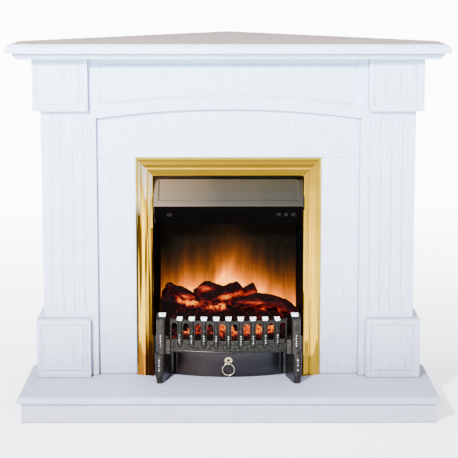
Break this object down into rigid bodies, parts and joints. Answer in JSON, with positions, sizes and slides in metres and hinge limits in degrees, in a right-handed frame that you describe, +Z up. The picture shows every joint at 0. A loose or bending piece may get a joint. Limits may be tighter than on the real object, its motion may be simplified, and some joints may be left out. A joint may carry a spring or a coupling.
{
  "type": "corner fireplace",
  "caption": "White corner fireplace surround on a raised hearth with a brass-trimmed electric insert, log and ember bed, bowed fret and ashpan cover.",
  "frame": {"origin": "middle of the bounding box at floor level", "axes": "+X to the right when facing the fire, +Y back towards the corner of the room, +Z up"},
  "size_m": [1.176, 0.851, 0.995],
  "materials": {
    "veneer": "white satin lacquer over open grain",
    "batten_wood": "rough sawn softwood",
    "brass": "polished and lacquered",
    "bronze_sheet": "satin bronze enamel",
    "black_sheet": "matt black enamel",
    "black_plastic": "fine grain",
    "red_lens": "dark red, polished",
    "screen_glass": "smoked, with the flame picture on it",
    "embers": "moulded, lit from below",
    "lamp": "lamp strip",
    "log": "painted bark",
    "dark_bronze": "dark bronze lacquer with rubbed highlights",
    "pan_bronze": "dark bronze lacquer",
    "antique_brass": "aged",
    "bright_metal": "bright rolled sheet",
    "zinc_motor": "zinc plated",
    "bearing_bronze": "sintered"
  },
  "bodies": {
    "surround": {"mantel_board": "veneer", "mantel_subboard": "veneer", "cornice_front": "veneer", "cornice_returns": "veneer", "frieze_board": "veneer", "face_board_left": "veneer", "face_board_right": "veneer", "cap_block_left": "veneer", "cap_block_right": "veneer", "base_block_left": "veneer", "base_block_right": "veneer", "block_returns": "veneer", "side_panel_left": "veneer", "side_panel_right": "veneer", "fascia_header": "veneer", "fascia_left": "veneer", "fascia_right": "veneer", "hearth_slab": "veneer", "plinth_front": "veneer", "plinth_left": "veneer", "plinth_right": "veneer", "carcass_battens": "batten_wood", "wall_rails": "batten_wood", "trim_left": "brass", "trim_right": "brass", "trim_top": "brass", "housing_left": "black_sheet", "housing_right": "black_sheet", "housing_top": "black_sheet", "housing_base": "black_sheet", "housing_back": "black_sheet", "heater_shelf": "black_sheet", "hood": "bronze_sheet", "vent_panel": "black_sheet", "switch_frames": "black_plastic", "receiver_window": "red_lens", "cheek_left": "black_sheet", "cheek_right": "black_sheet", "flame_screen": "screen_glass", "ember_bed": "embers", "led_strips": "lamp", "back_logs": "log", "front_logs": "log", "fret": "dark_bronze", "post_left": "dark_bronze", "post_right": "dark_bronze", "rotor_motor": "zinc_motor", "rotor_bush": "bearing_bronze", "fan_casing": "bright_metal", "fan_motor": "zinc_motor", "heating_element": "bright_metal", "mains_gland": "black_plastic"},
    "ashpan": {"ashpan_cover": "pan_bronze", "ring_boss": "antique_brass"},
    "ring": {"ring_pull": "antique_brass"},
    "rocker_power": {"switch_power": "black_plastic"},
    "rocker_low_heat": {"switch_low_heat": "black_plastic"},
    "rocker_high_heat": {"switch_high_heat": "black_plastic"},
    "rotor": {"flame_rotor": "bright_metal"},
    "impeller": {"fan_impeller": "bright_metal"}
  },
  "joints": [
    {"name": "ashpan_slide", "type": "slide", "parent": "surround", "child": "ashpan", "axis": [0, -1, 0], "range_m": [0, 0.08]},
    {"name": "ring_swing", "type": "hinge", "parent": "ashpan", "child": "ring", "pos_m": [0, -0.2498, 0.112], "axis": [-1, 0, 0], "range_deg": [0, 110]},
    {"name": "rocker_power_tilt", "type": "hinge", "parent": "surround", "child": "rocker_power", "pos_m": [0.1385, -0.2127, 0.52744], "axis": [1, 0, 0], "range_deg": [0, 14]},
    {"name": "rocker_low_heat_tilt", "type": "hinge", "parent": "surround", "child": "rocker_low_heat", "pos_m": [0.158, -0.2127, 0.52744], "axis": [1, 0, 0], "range_deg": [0, 14]},
    {"name": "rocker_high_heat_tilt", "type": "hinge", "parent": "surround", "child": "rocker_high_heat", "pos_m": [0.1775, -0.2127, 0.52744], "axis": [1, 0, 0], "range_deg": [0, 14]},
    {"name": "rotor_spin", "type": "hinge", "parent": "surround", "child": "rotor", "pos_m": [0, -0.05975, 0.222], "axis": [1, 0, 0], "continuous": true},
    {"name": "impeller_spin", "type": "hinge", "parent": "surround", "child": "impeller", "pos_m": [0, -0.0925, 0.5645], "axis": [1, 0, 0], "continuous": true}
  ]
}
